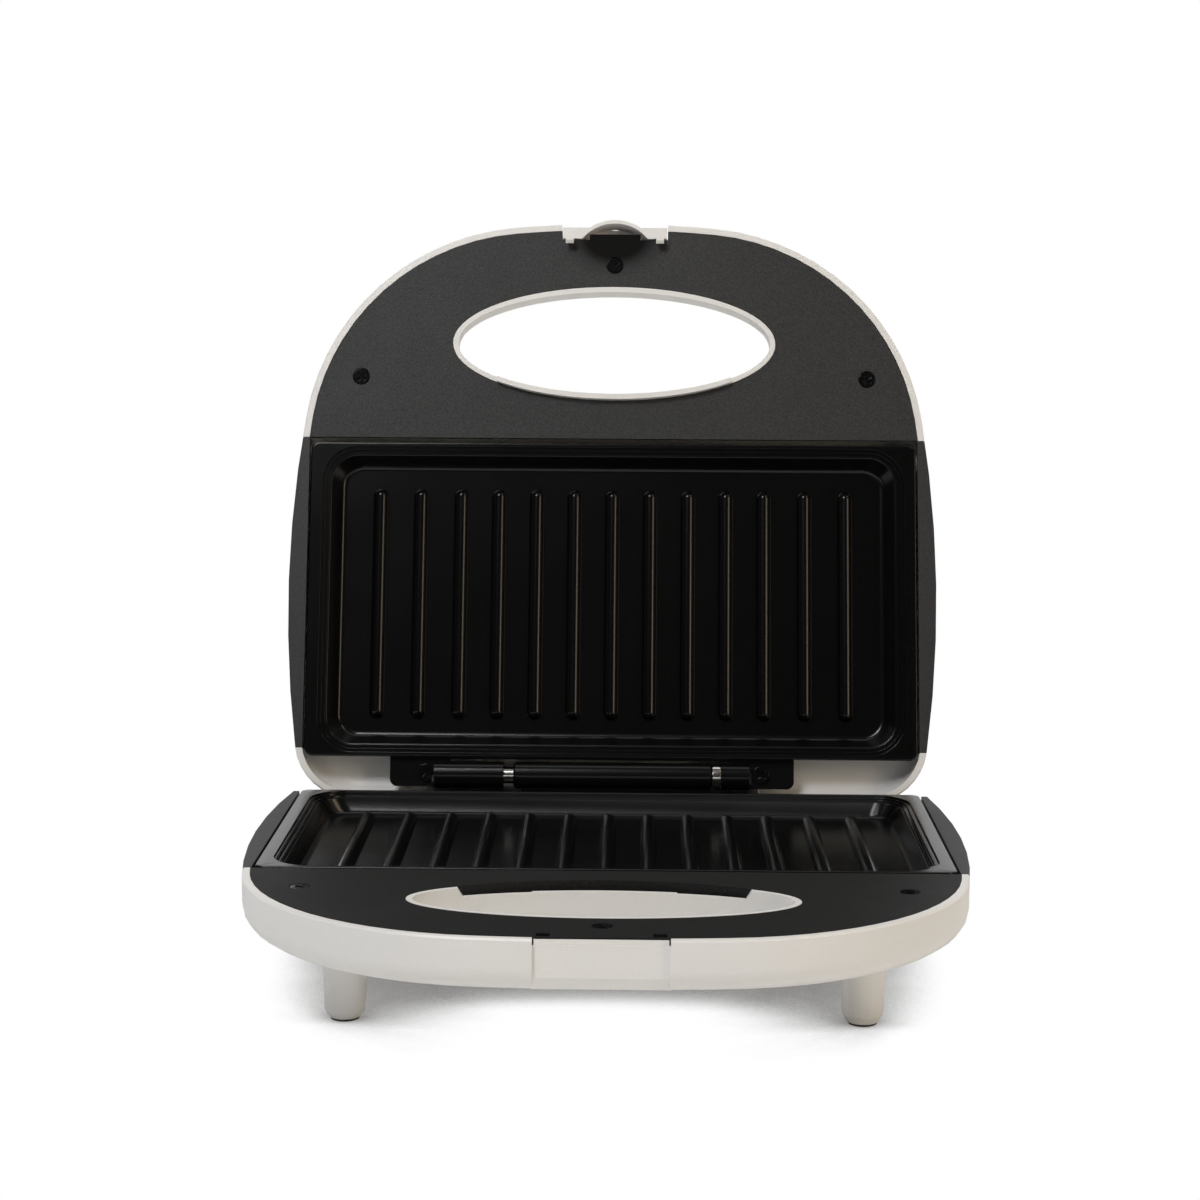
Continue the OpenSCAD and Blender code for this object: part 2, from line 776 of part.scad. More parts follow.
// Shallow sheet tray behind the heater, clamped between the plate's bosses and the posts
module reflector() {
    half = floor_side - 2;
    back = floor_back + 1.5;
    front = floor_front - 1.5;
    corner = 10;
    lip = 3;
    difference() {
        translate([0, 0, reflector_z + reflector_t - lip]) linear_extrude(lip)
            polygon(round_rect(-half, half, -front, -back, corner));
        translate([0, 0, reflector_z - lip]) linear_extrude(lip)
            polygon(round_rect(-half + reflector_t, half - reflector_t, -front + reflector_t,
                               -back - reflector_t, corner - reflector_t));
        for (place = plate_screws) post(place, shank_r + fit, reflector_z - over,
                                        reflector_z + reflector_t + over);
    }
}

module lower_reflector() { color("lightgray") base_frame() reflector(); }
module upper_reflector() { color("lightgray") lid_frame() reflector(); }

// Screws that hold a plate, their heads away from the plate
module plate_screw_set() {
    length = reflector_z + reflector_t - floor_under - 1;
    for (place = plate_screws)
        translate([0, 0, 2 * (reflector_z + reflector_t)]) mirror([0, 0, 1])
            screw(place, reflector_z + reflector_t - head_h, length);
}

module lower_plate_screws() { color("gray") base_frame() plate_screw_set(); }
module upper_plate_screws() { color("gray") lid_frame() plate_screw_set(); }

module panel_screw_set() {
    for (place = panel_screws) screw(place, head_seat - head_h, screw_l - 1);
}

module base_panel_screws() { color([0.15, 0.15, 0.15]) base_frame() panel_screw_set(); }
module lid_panel_screws() { color([0.15, 0.15, 0.15]) lid_frame() panel_screw_set(); }

// --------------------------------------------------------------------- hinge

// Base side of the hinge: long middle barrel on a web, with a screwed foot
module hinge_block() {
    axis_z = -hinge_rise;
    length = barrel_right - barrel_left;
    color([0.18, 0.18, 0.18]) base_frame() difference() {
        union() {
            translate([barrel_left, 0, axis_z]) rotate([0, 90, 0]) rotate_extrude()
                polygon([[0, 0], [barrel_r - barrel_chamfer, 0], [barrel_r, barrel_chamfer],
                         [barrel_r, length - barrel_chamfer],
                         [barrel_r - barrel_chamfer, length], [0, length]]);
            translate([barrel_left + block_inset, block_back - block_web_t, axis_z])
                cube([length - 2 * block_inset, block_web_t, block_foot_z - axis_z + block_foot_t]);
            translate([barrel_left + block_inset, block_back - block_foot_l, block_foot_z])
                cube([length - 2 * block_inset, block_foot_l, block_foot_t]);
            translate([bracket_left - apron_side, -apron_front, apron_z])
                cube([bracket_right - bracket_left + 2 * apron_side, apron_front - apron_back, apron_t]);
        }
        rod(barrel_left - over, barrel_right + over, 0, axis_z, hinge_pin_r + slip);
        for (place = block_screws)
            post(place, shank_r + fit, block_foot_z - over, block_foot_z + block_foot_t + over);
    }
}

module hinge_block_screws() {
    color("gray") base_frame() for (place = block_screws)
        screw(place, block_foot_z - head_h, base_depth - shell_t - block_foot_z - 0.6);
}

module hinge_pin() {
    color("gainsboro") translate([0, hinge_y, hinge_z])
        rod(bracket_left + 0.8, bracket_right - 0.6, 0, 0, hinge_pin_r);
}

module hinge_washer() {
    color("silver") translate([0, hinge_y, hinge_z]) difference() {
        rod(barrel_right + fit, barrel_right + washer_t - fit, 0, 0, barrel_r - 0.1);
        rod(barrel_right - over, barrel_right + washer_t + over, 0, 0, hinge_pin_r + slip);
    }
}

// Lid side of the hinge: a strip under the plate's rear edge with two screw tabs and
// the two outer knuckles
module lid_hinge_bracket() {
    axis_z = -lid_drop;
    left = bracket_left - tab_w;
    right = bracket_right + tab_w;
    low = 4.3;
    strip_edge = plate_back + 2.1;
    color([0.16, 0.16, 0.16]) lid_frame() difference() {
        union() {
            rod(bracket_left, bracket_left + knuckle_left_l - fit, 0, axis_z, barrel_r);
            rod(bracket_right - knuckle_right_l + fit, bracket_right, 0, axis_z, barrel_r);
            translate([0, 0, tab_z]) linear_extrude(tab_t) {
                polygon(round_rect(left, bracket_left + 6, -strip_edge, low, 2.6));
                polygon(round_rect(bracket_right - 6, right, -strip_edge, low, 2.6));
            }
            translate([left + 3, -strip_edge, tab_z]) cube([right - left - 6, 2.6, tab_t]);
        }
        rod(bracket_left - over, bracket_right + over, 0, axis_z, hinge_pin_r + pin_play);
        translate([bracket_left + knuckle_left_l - fit, -barrel_r - run, -over])
            cube([bracket_right - knuckle_right_l + fit - bracket_left - knuckle_left_l + fit,
                  barrel_r + run + 8, 12]);
        for (place = hinge_screws) post(place, shank_r + fit, tab_z - over, tab_z + tab_t + over);
    }
}

module lid_hinge_screws() {
    color([0.15, 0.15, 0.15]) lid_frame() for (place = hinge_screws)
        screw(place, tab_z - head_h, screw_l - 1);
}

// --------------------------------------------------------------- latch

// Side profile of the whole latch, which trims its arch and cheeks to one form
latch_profile = [[cheek_in, latch_low], [arch_top + 0.2, latch_low], [arch_top, 4],
                 [arch_top - 1.4, 8.5], [arch_top - 3.6, latch_roof - 1.1],
                 [pivot_y + 0.4, latch_roof], [pivot_y - 1.8, latch_roof - 0.5],
                 [pivot_y - web_r, latch_pin_z], [cheek_in, latch_deck]];

module latch() {
    arch_y = -arch_top + arch_r;
    color("white") lid_frame() difference() {
        union() {
            intersection() {
                side_prism(-latch_half, latch_half, latch_profile);
                union() {
                    // arch wall, its domed top and the cheeks beside it
                    difference() {
                        union() {
                            translate([0, arch_y, latch_low])
                                cylinder(r = arch_r, h = latch_roof + over, $fn = 80);
                            for (side = [-1, 1])
                                translate([side > 0 ? cheek_x : -latch_half, -cheek_out, latch_low])
                                    cube([latch_half - cheek_x, cheek_out - cheek_in,
                                          latch_roof - latch_low]);
                        }
                        translate([0, arch_y, latch_low - over])
                            cylinder(r = arch_r - arch_t, h = arch_mouth - latch_low + over, $fn = 80);
                    }
                    translate([-latch_half, -cheek_out, latch_deck])
                        cube([2 * latch_half, cheek_out - pivot_y + web_r, latch_roof - latch_deck]);
                }
            }
            rod(-latch_half, latch_half, -pivot_y, latch_pin_z, web_r - 0.1);
            for (side = [-1, 1]) latch_hook(side > 0 ? hook_x : -hook_x - hook_w);
        }
        rod(-latch_half - over, latch_half + over, -pivot_y, latch_pin_z, latch_pin_r + pin_play);
    }
}

// Leg and hook that catch under the base panel's front edge
module latch_hook(x0) {
    side_prism(x0, x0 + hook_w,
               [[leg_in, latch_low], [cheek_in, latch_low], [cheek_in, latch_low + over],
                [leg_out + 1.6, latch_low + over], [leg_out + 0.8, latch_low],
                [leg_out, latch_low - 0.9], [leg_out, hook_top - hook_t],
                [leg_in - hook_l + 0.9, hook_top - hook_t], [leg_in - hook_l, hook_top - 0.5],
                [leg_in - hook_l, hook_top], [leg_in, hook_top]]);
}

module latch_pin() {
    color("silver") lid_frame()
        rod(-notch_half - 2.4, notch_half + 2.4, -pivot_y, latch_pin_z, latch_pin_r);
}

// ------------------------------------------------------------------- lamps

lamp_in = 16;
lamp_y = belly_front - lamp_in;
lamp_gap = 9;
lens_r = 3;

module lamp_bosses() {
    for (side = [-1, 1])
        post([side * lamp_gap, lamp_y], lens_r + 1.8, lid_belly - 5, lid_belly - shell_t / 2);
}

module lamp_holes() {
    for (side = [-1, 1])
        post([side * lamp_gap, lamp_y], lens_r + fit, lid_belly - 7, lid_belly + over);
}

// Lens with a low dome that stands just proud of the lid
module lamp_lens(side) {
    translate([side * lamp_gap, -lamp_y, 0]) rotate_extrude()
        polygon([[0, lid_belly - 5], [lens_r, lid_belly - 5], [lens_r, lid_belly + 0.3],
                 [lens_r * 0.7, lid_belly + 0.8], [0, lid_belly + 1]]);
}

module power_lamp_lens() { color("red") lid_frame() lamp_lens(-1); }
module ready_lamp_lens() { color("green") lid_frame() lamp_lens(1); }

// Carrier of the two neon lamps, seated on the ends of the lens bosses
module lamp_holder() {
    color("beige") lid_frame() translate([-lamp_gap - 5, -lamp_y - 5, lid_belly - 8.4])
        cube([2 * lamp_gap + 10, 10, 3.3]);
}

// --------------------------------------------------- feet, cord and controls

module foot_pads() {
    color([0.1, 0.1, 0.1]) base_frame()
        for (x = [-foot_x, foot_x], y = [foot_front, foot_back])
            post([x, y], pad_r, face_z - pad_t, face_z);
}

cord_z = base_belly - 6;
cord_wall = 1.2 - base_belly_back;
gland_r = cord_r + 1.2;

module cord_boss() {
    translate([cord_x, cord_wall - 6, cord_z]) rotate([-90, 0, 0])
        cylinder(r = gland_r + 1, h = 6);
}

module cord_hole() {
    translate([cord_x, cord_wall - 8, cord_z]) rotate([-90, 0, 0])
        cylinder(r = gland_r + slip, h = 14);
}

// Rubber sleeve with a collar outside the shell
module cord_grommet() {
    color([0.1, 0.1, 0.1]) base_frame() translate([cord_x, cord_wall, cord_z]) rotate([-90, 0, 0])
        difference() {
            union() {
                translate([0, 0, -6]) cylinder(r = gland_r, h = 7);
                translate([0, 0, fit]) cylinder(r = gland_r + 1, h = 1.6);
            }
            translate([0, 0, -7]) cylinder(r = cord_r, h = 10);
        }
}

clamp_y = 11.8;
clamp_w = 4.4;
clamp_half = cord_r + 9;
clamp_screw_x = cord_r + 5;
clamp_top = cord_z - cord_r - 2;
clamp_screws = [[cord_x - clamp_screw_x, clamp_y], [cord_x + clamp_screw_x, clamp_y]];

module cord_clamp_holes() {
    for (place = clamp_screws)
        post(place, shank_r + slip, base_belly - shell_t - 3, base_belly - shell_t + 1);
}

// Bar that presses the cord against the shell's floor just inside the grommet
module cord_clamp() {
    under = base_belly - shell_t - fit;
    color("ivory") base_frame() difference() {
        translate([cord_x - clamp_half, -clamp_y - clamp_w / 2, clamp_top])
            cube([2 * clamp_half, clamp_w, under - clamp_top]);
        translate([cord_x, -clamp_y + clamp_w, cord_z]) rotate([90, 0, 0])
            cylinder(r = cord_r + fit, h = 2 * clamp_w);
        translate([cord_x - cord_r - fit, -clamp_y - clamp_w, cord_z])
            cube([2 * cord_r + 2 * fit, 2 * clamp_w, under]);
        for (place = clamp_screws) post(place, shank_r + fit, clamp_top - over, under + over);
    }
}

module cord_clamp_screws() {
    color("gray") base_frame() for (place = clamp_screws)
        screw(place, clamp_top - head_h, base_belly - shell_t + 0.8 - clamp_top);
}

// Bimetal thermostat that hangs under the pan floor between the heater's legs
module thermostat() {
    mid = (floor_back + floor_front) / 2;
    color("goldenrod") base_frame() union() {
        translate([-30, -mid - 8, floor_under + fit]) cube([22, 16, 2]);
        translate([-27, -mid - 5, floor_under + 2]) cube([16, 10, 4.4]);
    }
}

// One-shot fuse in its sleeve, clipped under the pan floor
module thermal_fuse() {
    mid = (floor_back + floor_front) / 2;
    color("linen") base_frame() rod(6, 30, -mid, floor_under + 2 + fit, 2);
}

// Screw terminals on the shell's floor beside the cord clamp
module terminal_block() {
    deck = base_belly - shell_t - fit;
    color("ivory") base_frame() difference() {
        translate([cord_x - 40, -clamp_y - 10.7, deck - 6]) cube([22, 12, 6]);
        for (i = [0:2]) post([cord_x - 36 + 7 * i, clamp_y + 4.7], 1.6, deck - 6 - over, deck - 2);
    }
}

base_shell();
base_panel();
base_side_trim_left();
base_side_trim_right();
lower_grill_plate();
lower_heater();
lower_reflector();
lower_plate_screws();
hinge_block();
hinge_block_screws();
hinge_pin();
hinge_washer();
base_panel_screws();
foot_pads();
thermostat();
thermal_fuse();
terminal_block();
cord_grommet();
cord_clamp();
cord_clamp_screws();
lid_shell();
lid_panel();
lid_side_trim_left();
lid_side_trim_right();
upper_grill_plate();
upper_heater();
upper_reflector();
upper_plate_screws();
lid_hinge_bracket();
lid_hinge_screws();
lid_panel_screws();
power_lamp_lens();
ready_lamp_lens();
lamp_holder();
latch();
latch_pin();
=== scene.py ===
import json
import math

import bpy
from mathutils import Matrix, Vector


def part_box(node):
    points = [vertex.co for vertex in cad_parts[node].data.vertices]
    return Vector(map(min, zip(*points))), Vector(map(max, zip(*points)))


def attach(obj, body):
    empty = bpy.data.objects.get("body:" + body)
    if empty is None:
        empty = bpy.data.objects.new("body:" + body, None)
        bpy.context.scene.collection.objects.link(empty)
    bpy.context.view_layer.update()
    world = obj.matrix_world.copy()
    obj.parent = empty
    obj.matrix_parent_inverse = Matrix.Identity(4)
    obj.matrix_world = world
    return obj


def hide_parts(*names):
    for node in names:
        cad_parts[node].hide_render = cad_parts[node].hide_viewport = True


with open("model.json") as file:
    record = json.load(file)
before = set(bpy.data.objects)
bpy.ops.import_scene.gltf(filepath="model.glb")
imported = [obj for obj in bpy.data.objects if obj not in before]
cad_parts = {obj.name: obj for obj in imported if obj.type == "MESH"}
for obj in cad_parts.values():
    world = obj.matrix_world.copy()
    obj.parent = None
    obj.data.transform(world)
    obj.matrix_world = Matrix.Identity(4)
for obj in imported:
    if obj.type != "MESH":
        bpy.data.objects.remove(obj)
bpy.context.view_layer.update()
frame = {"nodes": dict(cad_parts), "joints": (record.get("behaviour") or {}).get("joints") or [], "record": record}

mm = 0.001

# Where the two halves sit: a half is drawn with its cooking face at z = 0, its handle
# towards -y and its outer side towards +z, as if the other half faced it.
halfSetup = {
    "faceGap": 1.0 * mm,     # between the two halves when shut
    "shutAngle": 0.0,        # filled from the lid's joint
}
lidJoint = next(j for j in frame["joints"] if j["name"] == "lid_hinge")
hingePlace = Vector(lidJoint["pos_m"])
halfSetup["shutAngle"] = math.radians(lidJoint["range_deg"][1])
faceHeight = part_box("lower_grill_plate")[1].z
hingeRise = hingePlace.z - faceHeight

baseMatrix = Matrix.Translation((0, hingePlace.y, faceHeight)) @ Matrix.Scale(-1, 4, (0, 0, 1))
lidMatrix = (Matrix.Translation(hingePlace)
             @ Matrix.Rotation(-halfSetup["shutAngle"], 4, "X")
             @ Matrix.Translation((0, 0, halfSetup["faceGap"] - hingeRise)))


# ---- small helpers

def deselectAll():
    for obj in bpy.context.selected_objects:
        obj.select_set(False)


def makeActive(obj):
    deselectAll()
    obj.select_set(True)
    bpy.context.view_layer.objects.active = obj


def editMode(obj, kind="FACE"):
    makeActive(obj)
    bpy.ops.object.mode_set(mode="EDIT")
    bpy.ops.mesh.select_mode(type=kind)


def objectMode():
    bpy.ops.object.mode_set(mode="OBJECT")


def pickVertices(obj, wanted):
    # selects these vertices alone and stays in edit mode
    editMode(obj, "VERT")
    bpy.ops.mesh.select_all(action="DESELECT")
    objectMode()
    for index in wanted:
        obj.data.vertices[index].select = True
    bpy.ops.object.mode_set(mode="EDIT")


def applyPlace(obj):
    makeActive(obj)
    bpy.ops.object.transform_apply(location=True, rotation=True, scale=True)


def applyModifiers(obj):
    makeActive(obj)
    for modifier in list(obj.modifiers):
        bpy.ops.object.modifier_apply(modifier=modifier.name)


def joinAll(objs, name):
    makeActive(objs[0])
    for obj in objs:
        obj.select_set(True)
    bpy.ops.object.join()
    objs[0].name = name
    objs[0].data.name = name
    return objs[0]


def copyOf(obj, name):
    twin = obj.copy()
    twin.data = obj.data.copy()
    twin.name = name
    twin.data.name = name
    twin.parent = None
    twin.hide_render = False
    twin.hide_viewport = False
    for key in list(twin.keys()):
        if key.startswith("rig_"):
            del twin[key]
    bpy.context.scene.collection.objects.link(twin)
    return twin


def recalcNormals(obj):
    editMode(obj)
    bpy.ops.mesh.select_all(action="SELECT")
    bpy.ops.mesh.normals_make_consistent(inside=False)
    objectMode()


def smoothByAngle(obj, angle=32):
    makeActive(obj)
    bpy.ops.object.shade_smooth_by_angle(angle=math.radians(angle))


def dress(obj, body, material, nodes=()):
    obj.data.materials.clear()
    obj.data.materials.append(material)
    if nodes:
        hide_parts(*nodes)
    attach(obj, body)
    return obj


def softCopy(node, bevel, segments=2, angle=34, shade=32):
    # the CAD solid with its edges eased, as a moulding or casting has them
    obj = copyOf(frame["nodes"][node], "soft_" + node)
    editMode(obj, "VERT")
    bpy.ops.mesh.select_all(action="SELECT")
    bpy.ops.mesh.remove_doubles(threshold=0.004 * mm)
    bpy.ops.mesh.dissolve_limited(angle_limit=math.radians(0.4))
    objectMode()
    if bevel > 0:
        mod = obj.modifiers.new("ease", "BEVEL")
        mod.width = bevel
        mod.segments = segments
        mod.limit_method = "ANGLE"
        mod.angle_limit = math.radians(angle)
        mod.use_clamp_overlap = True
        mod.miter_outer = "MITER_ARC"
        applyModifiers(obj)
    smoothByAngle(obj, shade)
    even = obj.modifiers.new("even", "WEIGHTED_NORMAL")
    even.keep_sharp = True
    even.weight = 80
    applyModifiers(obj)
    return obj


# ---- materials: shared effects as groups, shaders in each material

def newGroup(name, inputs, outputs):
    group = bpy.data.node_groups.new(name, "ShaderNodeTree")
    for label, kind, value in inputs:
        socket = group.interface.new_socket(name=label, in_out="INPUT", socket_type=kind)
        if value is not None:
            socket.default_value = value
    for label, kind in outputs:
        group.interface.new_socket(name=label, in_out="OUTPUT", socket_type=kind)
    return group, group.nodes.new("NodeGroupInput"), group.nodes.new("NodeGroupOutput")


def addNode(tree, kind, **values):
    node = tree.nodes.new(kind)
    for key, value in values.items():
        setattr(node, key, value)
    return node


def noise(tree, place, scale, detail=2.0, rough=0.5):
    node = addNode(tree, "ShaderNodeTexNoise")
    node.inputs["Detail"].default_value = detail
    node.inputs["Roughness"].default_value = rough
    tree.links.new(place, node.inputs["Vector"])
    if isinstance(scale, (int, float)):
        node.inputs["Scale"].default_value = scale
    else:
        tree.links.new(scale, node.inputs["Scale"])
    return node.outputs["Fac"]


def mathNode(tree, operation, first, second=None, third=None):
    node = addNode(tree, "ShaderNodeMath", operation=operation)
    for index, value in enumerate((first, second, third)):
        if value is None:
            continue
        if isinstance(value, (int, float)):
            node.inputs[index].default_value = value
        else:
            tree.links.new(value, node.inputs[index])
    return node.outputs[0]


def mapRange(tree, value, low, high, toLow, toHigh):
    node = addNode(tree, "ShaderNodeMapRange")
    tree.links.new(value, node.inputs["Value"])
    for label, number in (("From Min", low), ("From Max", high), ("To Min", toLow), ("To Max", toHigh)):
        if isinstance(number, (int, float)):
            node.inputs[label].default_value = number
        else:
            tree.links.new(number, node.inputs[label])
    return node.outputs["Result"]


def grainGroup():
    # fine spark-eroded mould texture with faint cloudy wear of the gloss
    group, given, made = newGroup(
        "mouldGrain",
        [("Scale", "NodeSocketFloat", 2600.0), ("Roughness", "NodeSocketFloat", 0.5),
         ("Spread", "NodeSocketFloat", 0.06)],
        [("Height", "NodeSocketFloat"), ("Roughness", "NodeSocketFloat"),
         ("Tone", "NodeSocketFloat")])
    place = addNode(group, "ShaderNodeTexCoord").outputs["Object"]
    fine = noise(group, place, given.outputs["Scale"], 3.0, 0.6)
    coarse = noise(group, place, mathNode(group, "MULTIPLY", given.outputs["Scale"], 0.31), 1.5, 0.5)
    cloudy = noise(group, place, 38.0, 3.0, 0.55)
    height = mathNode(group, "MULTIPLY_ADD", coarse, 0.6, fine)
    spread = mathNode(group, "MULTIPLY_ADD", given.outputs["Spread"], -0.5, given.outputs["Roughness"])
    rough = mathNode(group, "MULTIPLY_ADD", cloudy, given.outputs["Spread"], spread)
    group.links.new(height, made.inputs["Height"])
    group.links.new(rough, made.inputs["Roughness"])
    dots = mapRange(group, fine, 0.36, 0.64, 0.0, 0.75)
    group.links.new(mathNode(group, "MULTIPLY_ADD", cloudy, 0.35, dots), made.inputs["Tone"])
    return group


def specksGroup():
    # sparse dust and lint specks, as on any dark surface under studio light
    group, given, made = newGroup(
        "dustSpecks",
        [("Scale", "NodeSocketFloat", 160.0), ("Amount", "NodeSocketFloat", 0.1)],
        [("Mask", "NodeSocketFloat")])
    place = addNode(group, "ShaderNodeTexCoord").outputs["Object"]
    cells = addNode(group, "ShaderNodeTexVoronoi")
    group.links.new(place, cells.inputs["Vector"])
    group.links.new(given.outputs["Scale"], cells.inputs["Scale"])
    near = mapRange(group, cells.outputs["Distance"], 0.015, 0.05, 1.0, 0.0)
    some = mapRange(group, noise(group, place, 95.0, 1.0), 0.6, 0.66, 0.0, 1.0)
    mask = mathNode(group, "MULTIPLY", mathNode(group, "MULTIPLY", near, some), given.outputs["Amount"])
    group.links.new(mask, made.inputs["Mask"])
    return group


groups = {"grain": grainGroup(), "specks": specksGroup()}


def groupNode(tree, key, **values):
    node = addNode(tree, "ShaderNodeGroup", node_tree=groups[key])
    for label, value in values.items():
        node.inputs[label].default_value = value
    return node


def mixColours(tree, factor, first, second):
    node = addNode(tree, "ShaderNodeMix", data_type="RGBA")
    for socket, value in ((node.inputs["Factor"], factor), (node.inputs["A"], first), (node.inputs["B"], second)):
        if hasattr(value, "is_output"):
            tree.links.new(value, socket)
        else:
            socket.default_value = value
    return node.outputs["Result"]


def finish(name, look):
    # look: colour, tint, roughness, spread, grain, bump (mm), specks, metallic, coat
    material = bpy.data.materials.new(name)
    material.use_nodes = True
    tree = material.node_tree
    shader = tree.nodes["Principled BSDF"]
    grain = groupNode(tree, "grain", Scale=look["grain"], Roughness=look["roughness"],
                      Spread=look.get("spread", 0.06))
    colour = mixColours(tree, grain.outputs["Tone"], (*look["colour"], 1), (*look["tint"], 1))
    if look.get("specks"):
        specks = groupNode(tree, "specks", Scale=look.get("speckScale", 160.0), Amount=look["specks"])
        colour = mixColours(tree, specks.outputs["Mask"], colour, (0.5, 0.48, 0.45, 1))
    tree.links.new(colour, shader.inputs["Base Color"])
    tree.links.new(grain.outputs["Roughness"], shader.inputs["Roughness"])
    bump = addNode(tree, "ShaderNodeBump")
    bump.inputs["Strength"].default_value = look.get("strength", 0.5)
    bump.inputs["Distance"].default_value = look["bump"] * mm
    tree.links.new(grain.outputs["Height"], bump.inputs["Height"])
    tree.links.new(bump.outputs["Normal"], shader.inputs["Normal"])
    shader.inputs["Metallic"].default_value = look.get("metallic", 0.0)
    shader.inputs["Specular IOR Level"].default_value = look.get("specular", 0.5)
    shader.inputs["Coat Weight"].default_value = look.get("coat", 0.0)
    shader.inputs["Coat Roughness"].default_value = look.get("coatRoughness", 0.1)
    return material


looks = {
    "white_shell": {"colour": (0.90, 0.888, 0.866), "tint": (0.87, 0.853, 0.825), "roughness": 0.38,
                    "spread": 0.05, "grain": 1900.0, "bump": 0.02, "strength": 0.25},
    "black_panel": {"colour": (0.046, 0.046, 0.0465), "tint": (0.02, 0.02, 0.02), "roughness": 0.5,
                    "spread": 0.1, "grain": 1500.0, "bump": 0.12, "strength": 0.8, "specks": 0.05,
                    "specular": 0.32},
    # a darker copy of black_panel for the base's cover: its darker colour is painted shade
    "black_panel_shaded_copy": {"colour": (0.021, 0.021, 0.0213), "tint": (0.009, 0.009, 0.009), "roughness": 0.55,
                    "spread": 0.1, "grain": 1500.0, "bump": 0.12, "strength": 0.8, "specks": 0.05,
                    "specular": 0.16},
    "trim_grey": {"colour": (0.034, 0.034, 0.036), "tint": (0.015, 0.015, 0.016), "roughness": 0.5,
                  "spread": 0.08, "grain": 1700.0, "bump": 0.09, "strength": 0.7, "specks": 0.04},
    "nonstick": {"colour": (0.003, 0.003, 0.003), "tint": (0.002, 0.002, 0.002), "roughness": 0.21,
                 "spread": 0.06, "grain": 2200.0, "bump": 0.02, "strength": 0.3, "specks": 0.05,
                 "specular": 0.35},
    "heater_steel": {"colour": (0.34, 0.32, 0.30), "tint": (0.22, 0.2, 0.19), "roughness": 0.42,
                     "grain": 900.0, "bump": 0.02, "metallic": 1.0},
    "sheet_steel": {"colour": (0.62, 0.62, 0.63), "tint": (0.5, 0.5, 0.5), "roughness": 0.3,
                    "grain": 700.0, "bump": 0.01, "metallic": 1.0},
    "screw_black": {"colour": (0.005, 0.005, 0.005), "tint": (0.003, 0.003, 0.003), "roughness": 0.15,
                    "grain": 2600.0, "bump": 0.01, "specular": 0.35},
    "screw_steel": {"colour": (0.5, 0.5, 0.5), "tint": (0.4, 0.39, 0.37), "roughness": 0.3,
                    "grain": 2600.0, "bump": 0.01, "metallic": 1.0},
    "hinge_black": {"colour": (0.006, 0.006, 0.0062), "tint": (0.004, 0.004, 0.004), "roughness": 0.22,
                    "spread": 0.06, "grain": 2100.0, "bump": 0.015, "strength": 0.3, "specks": 0.03,
                    "specular": 0.25},
    "pin_steel": {"colour": (0.66, 0.64, 0.60), "tint": (0.5, 0.48, 0.45), "roughness": 0.2,
                  "grain": 1600.0, "bump": 0.01, "metallic": 1.0},
    "rubber": {"colour": (0.02, 0.02, 0.02), "tint": (0.03, 0.03, 0.03), "roughness": 0.75,
               "grain": 1400.0, "bump": 0.04},
    "ceramic": {"colour": (0.72, 0.69, 0.6), "tint": (0.64, 0.6, 0.5), "roughness": 0.5,
                "grain": 1200.0, "bump": 0.02},
    "thermostat": {"colour": (0.55, 0.4, 0.2), "tint": (0.4, 0.28, 0.14), "roughness": 0.35,
                   "grain": 1200.0, "bump": 0.01, "metallic": 0.9},
    "lens_red": {"colour": (0.42, 0.012, 0.01), "tint": (0.3, 0.008, 0.006), "roughness": 0.12,
                 "spread": 0.02, "grain": 900.0, "bump": 0.0, "coat": 0.6},
    "lens_green": {"colour": (0.012, 0.3, 0.05), "tint": (0.008, 0.22, 0.03), "roughness": 0.12,
                   "spread": 0.02, "grain": 900.0, "bump": 0.0, "coat": 0.6},
}
materials = {name: finish(name, look) for name, look in looks.items()}

# painted shadow on the lid's panel under the latch arch: its colour fades to near black there and its roughness
# rises
paintedArchShadow = {"reach": 197.0, "halfWidth": 21.0, "length": 15.0, "keep": 0.03}


def paintShadowUnderArch(material, shade):
    tree = material.node_tree
    shader = tree.nodes["Principled BSDF"]
    spot = addNode(tree, "ShaderNodeMapping", vector_type="TEXTURE")
    spot.inputs["Location"].default_value = lidMatrix @ Vector((0, -shade["reach"] * mm, 0))
    spot.inputs["Scale"].default_value = (shade["halfWidth"] * mm, 1.0, shade["length"] * mm)
    tree.links.new(addNode(tree, "ShaderNodeTexCoord").outputs["Object"], spot.inputs["Vector"])
    near = addNode(tree, "ShaderNodeVectorMath", operation="LENGTH")
    tree.links.new(spot.outputs["Vector"], near.inputs[0])
    # share of the panel's own colour that stays; near the arch the near-black painted shadow takes over
    light = mapRange(tree, near.outputs["Value"], 0.5, 1.0, shade["keep"], 1.0)
    plain = shader.inputs["Base Color"].links[0].from_socket
    tree.links.new(mixColours(tree, light, (0.002, 0.002, 0.002, 1), plain), shader.inputs["Base Color"])
    dull = mapRange(tree, near.outputs["Value"], 0.5, 1.0, 1.0, 0.0)
    rough = shader.inputs["Roughness"].links[0].from_socket
    tree.links.new(mathNode(tree, "MAXIMUM", dull, rough), shader.inputs["Roughness"])


paintShadowUnderArch(materials["black_panel"], paintedArchShadow)
print("materials ready")

bodyOf = {node: body for body, nodes in frame["record"]["behaviour"]["bodies"].items() for node in nodes}
slotOf = {part["node"]: part["material_slot"] for part in frame["record"]["subparts"]}
for node, obj in frame["nodes"].items():
    obj.data.materials.clear()
    obj.data.materials.append(materials[slotOf[node]])


dressing = {"base_panel": "black_panel_shaded_copy"}    # the base's cover takes a darker copy of the lid panel's black, whose darker colour is painted shade, and a duller gloss


def dressNode(obj, node, *others):
    look = materials[dressing.get(node, slotOf[node])]
    return dress(obj, bodyOf[node], look, (node, *others))


